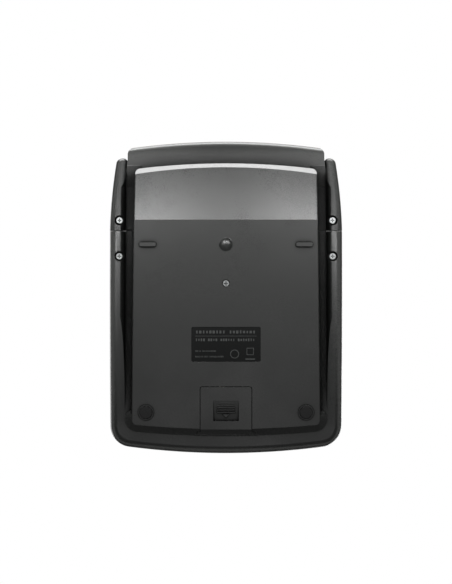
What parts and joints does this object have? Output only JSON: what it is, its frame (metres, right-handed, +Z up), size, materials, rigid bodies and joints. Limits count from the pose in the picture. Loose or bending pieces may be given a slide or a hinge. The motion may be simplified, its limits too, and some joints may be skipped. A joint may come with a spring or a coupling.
{
  "type": "desk calculator",
  "caption": "Desk calculator with a tilted display over a wedge-shaped plinth, rounded side rails, sliding battery door, dished keys and slide switches.",
  "frame": {"origin": "on the table, under the middle of the case", "axes": "+Z up, +Y away from the user towards the display, +X to the user's right"},
  "size_m": [0.1524, 0.2046, 0.0396],
  "materials": {
    "case_plastic": "fine spark-eroded grain, satin",
    "brushed_faceplate": "dark brushed",
    "clear_lens": "polished acrylic",
    "lcd_glass": "reflective liquid crystal panel",
    "inner_plastic": "plain moulded",
    "solar_cell": "dark amorphous silicon strips",
    "flex_film": "amber film",
    "lead_insulation": "soft insulation",
    "circuit_board": "phenolic laminate",
    "epoxy": "glossy drop",
    "keypad_rubber": "silicone",
    "switch_plastic": "satin",
    "cell_steel": "nickel plated steel",
    "contact_metal": "nickel plated spring strip",
    "label_film": "printed film",
    "foot_rubber": "matt",
    "screw_steel": "zinc plated",
    "key_plastic_dark": "satin",
    "key_plastic_grey": "satin",
    "key_plastic_red": "satin"
  },
  "bodies": {
    "case": {"board_screws": "screw_steel", "button_cell": "cell_steel", "cell_rim_contact": "contact_metal", "cell_top_contact": "contact_metal", "centre_screw": "screw_steel", "display_flex": "flex_film", "display_lens": "clear_lens", "display_rear_frame": "case_plastic", "display_shell": "case_plastic", "faceplate": "brushed_faceplate", "keyboard_shell": "case_plastic", "keypad_mat": "keypad_rubber", "label_plate": "label_film", "lcd_holder": "inner_plastic", "lcd_panel": "lcd_glass", "main_board": "circuit_board", "processor_cover": "epoxy", "rail_screws": "screw_steel", "rear_shell": "case_plastic", "rubber_feet": "foot_rubber", "solar_cell": "solar_cell", "solar_leads": "lead_insulation"},
    "battery_door": {"battery_door": "case_plastic"},
    "rounding_switch": {"rounding_switch": "switch_plastic"},
    "decimal_switch": {"decimal_switch": "switch_plastic"},
    "key_square_root": {"key_square_root": "key_plastic_grey"},
    "key_percent": {"key_percent": "key_plastic_grey"},
    "key_change_sign": {"key_change_sign": "key_plastic_grey"},
    "key_memory_recall": {"key_memory_recall": "key_plastic_grey"},
    "key_memory_minus": {"key_memory_minus": "key_plastic_grey"},
    "key_memory_plus": {"key_memory_plus": "key_plastic_grey"},
    "key_backspace": {"key_backspace": "key_plastic_grey"},
    "key_7": {"key_7": "key_plastic_dark"},
    "key_8": {"key_8": "key_plastic_dark"},
    "key_9": {"key_9": "key_plastic_dark"},
    "key_multiply": {"key_multiply": "key_plastic_dark"},
    "key_divide": {"key_divide": "key_plastic_dark"},
    "key_memory_clear": {"key_memory_clear": "key_plastic_grey"},
    "key_4": {"key_4": "key_plastic_dark"},
    "key_5": {"key_5": "key_plastic_dark"},
    "key_6": {"key_6": "key_plastic_dark"},
    "key_subtract": {"key_subtract": "key_plastic_dark"},
    "key_grand_total": {"key_grand_total": "key_plastic_grey"},
    "key_clear_entry": {"key_clear_entry": "key_plastic_red"},
    "key_1": {"key_1": "key_plastic_dark"},
    "key_2": {"key_2": "key_plastic_dark"},
    "key_3": {"key_3": "key_plastic_dark"},
    "key_all_clear": {"key_all_clear": "key_plastic_red"},
    "key_0": {"key_0": "key_plastic_dark"},
    "key_00": {"key_00": "key_plastic_dark"},
    "key_decimal_point": {"key_decimal_point": "key_plastic_dark"},
    "key_add": {"key_add": "key_plastic_dark"},
    "key_equals": {"key_equals": "key_plastic_dark"}
  },
  "joints": [
    {"name": "battery_door_slide", "type": "slide", "parent": "case", "child": "battery_door", "axis": [0, -1, 0], "range_m": [0, 0.03]},
    {"name": "rounding_switch_slide", "type": "slide", "parent": "case", "child": "rounding_switch", "axis": [1, 0, 0], "range_m": [-0.003, 0.003]},
    {"name": "decimal_switch_slide", "type": "slide", "parent": "case", "child": "decimal_switch", "axis": [1, 0, 0], "range_m": [-0.003, 0.003]},
    {"name": "key_equals_press", "type": "slide", "parent": "case", "child": "key_equals", "axis": [0, 0.0819, -0.9966], "range_m": [0, 0.0016], "stiffness_N_per_m": 300, "springref_m": -0.001},
    {"name": "key_add_press", "type": "slide", "parent": "case", "child": "key_add", "axis": [0, 0.0819, -0.9966], "range_m": [0, 0.0016], "stiffness_N_per_m": 300, "springref_m": -0.001},
    {"name": "key_5_press", "type": "slide", "parent": "case", "child": "key_5", "axis": [0, 0.0819, -0.9966], "range_m": [0, 0.0016], "stiffness_N_per_m": 300, "springref_m": -0.001},
    {"name": "key_all_clear_press", "type": "slide", "parent": "case", "child": "key_all_clear", "axis": [0, 0.0819, -0.9966], "range_m": [0, 0.0016], "stiffness_N_per_m": 300, "springref_m": -0.001},
    {"name": "key_memory_plus_press", "type": "slide", "parent": "case", "child": "key_memory_plus", "axis": [0, 0.0819, -0.9966], "range_m": [0, 0.0016], "stiffness_N_per_m": 300, "springref_m": -0.001},
    {"name": "key_square_root_press", "type": "slide", "parent": "case", "child": "key_square_root", "axis": [0, 0.0819, -0.9966], "range_m": [0, 0.0016], "stiffness_N_per_m": 300, "springref_m": -0.001},
    {"name": "key_percent_press", "type": "slide", "parent": "case", "child": "key_percent", "axis": [0, 0.0819, -0.9966], "range_m": [0, 0.0016], "stiffness_N_per_m": 300, "springref_m": -0.001},
    {"name": "key_change_sign_press", "type": "slide", "parent": "case", "child": "key_change_sign", "axis": [0, 0.0819, -0.9966], "range_m": [0, 0.0016], "stiffness_N_per_m": 300, "springref_m": -0.001},
    {"name": "key_memory_recall_press", "type": "slide", "parent": "case", "child": "key_memory_recall", "axis": [0, 0.0819, -0.9966], "range_m": [0, 0.0016], "stiffness_N_per_m": 300, "springref_m": -0.001},
    {"name": "key_memory_minus_press", "type": "slide", "parent": "case", "child": "key_memory_minus", "axis": [0, 0.0819, -0.9966], "range_m": [0, 0.0016], "stiffness_N_per_m": 300, "springref_m": -0.001},
    {"name": "key_backspace_press", "type": "slide", "parent": "case", "child": "key_backspace", "axis": [0, 0.0819, -0.9966], "range_m": [0, 0.0016], "stiffness_N_per_m": 300, "springref_m": -0.001},
    {"name": "key_7_press", "type": "slide", "parent": "case", "child": "key_7", "axis": [0, 0.0819, -0.9966], "range_m": [0, 0.0016], "stiffness_N_per_m": 300, "springref_m": -0.001},
    {"name": "key_8_press", "type": "slide", "parent": "case", "child": "key_8", "axis": [0, 0.0819, -0.9966], "range_m": [0, 0.0016], "stiffness_N_per_m": 300, "springref_m": -0.001},
    {"name": "key_9_press", "type": "slide", "parent": "case", "child": "key_9", "axis": [0, 0.0819, -0.9966], "range_m": [0, 0.0016], "stiffness_N_per_m": 300, "springref_m": -0.001},
    {"name": "key_multiply_press", "type": "slide", "parent": "case", "child": "key_multiply", "axis": [0, 0.0819, -0.9966], "range_m": [0, 0.0016], "stiffness_N_per_m": 300, "springref_m": -0.001},
    {"name": "key_divide_press", "type": "slide", "parent": "case", "child": "key_divide", "axis": [0, 0.0819, -0.9966], "range_m": [0, 0.0016], "stiffness_N_per_m": 300, "springref_m": -0.001},
    {"name": "key_memory_clear_press", "type": "slide", "parent": "case", "child": "key_memory_clear", "axis": [0, 0.0819, -0.9966], "range_m": [0, 0.0016], "stiffness_N_per_m": 300, "springref_m": -0.001},
    {"name": "key_4_press", "type": "slide", "parent": "case", "child": "key_4", "axis": [0, 0.0819, -0.9966], "range_m": [0, 0.0016], "stiffness_N_per_m": 300, "springref_m": -0.001},
    {"name": "key_6_press", "type": "slide", "parent": "case", "child": "key_6", "axis": [0, 0.0819, -0.9966], "range_m": [0, 0.0016], "stiffness_N_per_m": 300, "springref_m": -0.001},
    {"name": "key_subtract_press", "type": "slide", "parent": "case", "child": "key_subtract", "axis": [0, 0.0819, -0.9966], "range_m": [0, 0.0016], "stiffness_N_per_m": 300, "springref_m": -0.001},
    {"name": "key_grand_total_press", "type": "slide", "parent": "case", "child": "key_grand_total", "axis": [0, 0.0819, -0.9966], "range_m": [0, 0.0016], "stiffness_N_per_m": 300, "springref_m": -0.001},
    {"name": "key_clear_entry_press", "type": "slide", "parent": "case", "child": "key_clear_entry", "axis": [0, 0.0819, -0.9966], "range_m": [0, 0.0016], "stiffness_N_per_m": 300, "springref_m": -0.001},
    {"name": "key_1_press", "type": "slide", "parent": "case", "child": "key_1", "axis": [0, 0.0819, -0.9966], "range_m": [0, 0.0016], "stiffness_N_per_m": 300, "springref_m": -0.001},
    {"name": "key_2_press", "type": "slide", "parent": "case", "child": "key_2", "axis": [0, 0.0819, -0.9966], "range_m": [0, 0.0016], "stiffness_N_per_m": 300, "springref_m": -0.001},
    {"name": "key_3_press", "type": "slide", "parent": "case", "child": "key_3", "axis": [0, 0.0819, -0.9966], "range_m": [0, 0.0016], "stiffness_N_per_m": 300, "springref_m": -0.001},
    {"name": "key_0_press", "type": "slide", "parent": "case", "child": "key_0", "axis": [0, 0.0819, -0.9966], "range_m": [0, 0.0016], "stiffness_N_per_m": 300, "springref_m": -0.001},
    {"name": "key_00_press", "type": "slide", "parent": "case", "child": "key_00", "axis": [0, 0.0819, -0.9966], "range_m": [0, 0.0016], "stiffness_N_per_m": 300, "springref_m": -0.001},
    {"name": "key_decimal_point_press", "type": "slide", "parent": "case", "child": "key_decimal_point", "axis": [0, 0.0819, -0.9966], "range_m": [0, 0.0016], "stiffness_N_per_m": 300, "springref_m": -0.001}
  ]
}
